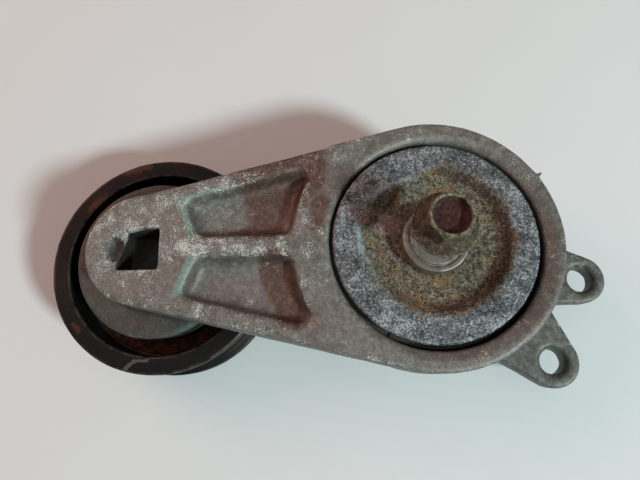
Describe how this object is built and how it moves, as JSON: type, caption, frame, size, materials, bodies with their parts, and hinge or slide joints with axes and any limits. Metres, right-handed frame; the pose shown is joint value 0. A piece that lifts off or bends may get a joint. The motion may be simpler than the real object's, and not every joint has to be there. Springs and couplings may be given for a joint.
{
  "type": "belt tensioner idler",
  "caption": "Spring-loaded belt tensioner: a cast swing arm on a round base carries a smooth flanged idler pulley, with a mounting bolt through its pivot.",
  "frame": {"origin": "on the pivot axis, at the base's rear mounting face", "axes": "+Z forward along the pivot axis, from the engine to the front cap; -X from the pivot to the pulley with the arm on its free stop; +Y completes the frame, away from the mounting ears"},
  "size_m": [0.1928, 0.085, 0.0696],
  "materials": {
    "cast_base": "weathered die casting",
    "tube_steel": "machined, scratched",
    "cap_steel": "zinc plated, rusted in the dish",
    "spring_steel": "oiled spring wire",
    "nylon": "matt nylon",
    "cast_arm": "weathered die casting with white oxide",
    "bolt_steel": "lightly rusted",
    "shield_steel": "zinc plated",
    "bearing_steel": "ground",
    "seal_rubber": "moulded rubber",
    "cage_nylon": "glass filled nylon",
    "pulley_steel": "dark worn steel, rust tinted",
    "rusted_bolt": "rusted"
  },
  "bodies": {
    "base": {"base_housing": "cast_base", "pivot_tube": "tube_steel", "front_cap": "cap_steel", "torsion_spring": "spring_steel", "spring_bushing": "nylon", "thrust_washer": "nylon", "disc_spring": "spring_steel"},
    "arm": {"arm_casting": "cast_arm", "pivot_bushing": "nylon", "damping_ring": "nylon", "bearing_inner_ring": "bearing_steel", "pulley_bolt": "bolt_steel", "rear_dust_shield": "shield_steel", "front_dust_shield": "shield_steel"},
    "pulley": {"pulley_rim": "pulley_steel", "bearing_outer_ring": "bearing_steel", "bearing_seal_rear": "seal_rubber", "bearing_seal_front": "seal_rubber"},
    "ball_set": {"bearing_balls": "bearing_steel", "bearing_cage": "cage_nylon"},
    "bolt": {"mounting_bolt": "rusted_bolt"}
  },
  "joints": [
    {"name": "arm_swing", "type": "hinge", "parent": "base", "child": "arm", "pos_m": [0, 0, 0.03], "axis": [0, 0, 1], "range_deg": [0, 38], "stiffness_Nm_per_rad": 15, "springref_deg": -45.84, "deforming": ["torsion_spring"]},
    {"name": "pulley_spin", "type": "hinge", "parent": "arm", "child": "pulley", "pos_m": [-0.0914, 0, 0.0145], "axis": [0, 0, 1], "continuous": true},
    {"name": "cage_spin", "type": "hinge", "parent": "arm", "child": "ball_set", "pos_m": [-0.0914, 0, 0.0145], "axis": [0, 0, 1], "continuous": true},
    {"name": "bolt_slide", "type": "slide", "parent": "base", "child": "bolt", "axis": [0, 0, 1], "range_m": [-0.0132, 0.045]}
  ],
  "couplings": [
    {"joint": "cage_spin", "follows": "pulley_spin", "ratio": 0.6364}
  ]
}
